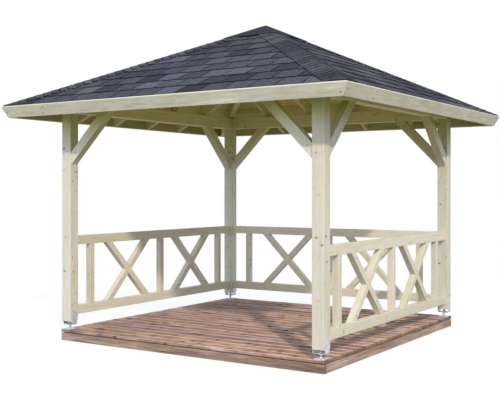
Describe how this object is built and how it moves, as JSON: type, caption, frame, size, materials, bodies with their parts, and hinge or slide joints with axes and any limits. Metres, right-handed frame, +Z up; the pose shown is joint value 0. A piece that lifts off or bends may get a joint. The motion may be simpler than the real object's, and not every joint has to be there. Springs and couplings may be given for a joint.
{
  "type": "garden gazebo",
  "caption": "Open square timber gazebo with a hipped shingle roof, knee braces, a plank deck and low railings with crosses on three sides.",
  "frame": {"origin": "on the ground under the middle of the deck", "axes": "+Z up, -Y towards the open front, +X to the right of someone who faces the back from the front"},
  "size_m": [4.0506, 4.0506, 3.448],
  "materials": {
    "timber": "pale, planed and pressure-treated softwood with small knots",
    "roof_boarding": "pale tongue-and-groove softwood boards",
    "deck_wood": "weathered reddish-brown ribbed decking",
    "galvanised_steel": "dull galvanised",
    "shingle": "mineral-granule bitumen shingle, blue-grey"
  },
  "bodies": {
    "root": {"deck_boards": "deck_wood", "deck_long_rims": "deck_wood", "deck_end_rims": "deck_wood", "deck_joist_set": "deck_wood", "front_left_post": "timber", "front_right_post": "timber", "back_left_post": "timber", "back_right_post": "timber", "post_feet": "galvanised_steel", "front_beam": "timber", "back_beam": "timber", "left_beam": "timber", "right_beam": "timber", "front_braces": "timber", "back_braces": "timber", "left_braces": "timber", "right_braces": "timber", "left_top_rail": "timber", "back_top_rail": "timber", "right_top_rail": "timber", "left_bottom_rail": "timber", "back_bottom_rail": "timber", "right_bottom_rail": "timber", "left_balusters": "timber", "back_balusters": "timber", "right_balusters": "timber", "left_rising_bars": "timber", "back_rising_bars": "timber", "right_rising_bars": "timber", "left_falling_bars": "timber", "back_falling_bars": "timber", "right_falling_bars": "timber", "hip_rafters": "timber", "jack_rafters": "timber", "front_roof_boards": "roof_boarding", "back_roof_boards": "roof_boarding", "left_roof_boards": "roof_boarding", "right_roof_boards": "roof_boarding", "front_shingles": "shingle", "back_shingles": "shingle", "left_shingles": "shingle", "right_shingles": "shingle", "front_fascia": "timber", "back_fascia": "timber", "left_fascia": "timber", "right_fascia": "timber", "hip_caps": "shingle", "top_cap": "shingle"}
  },
  "joints": []
}
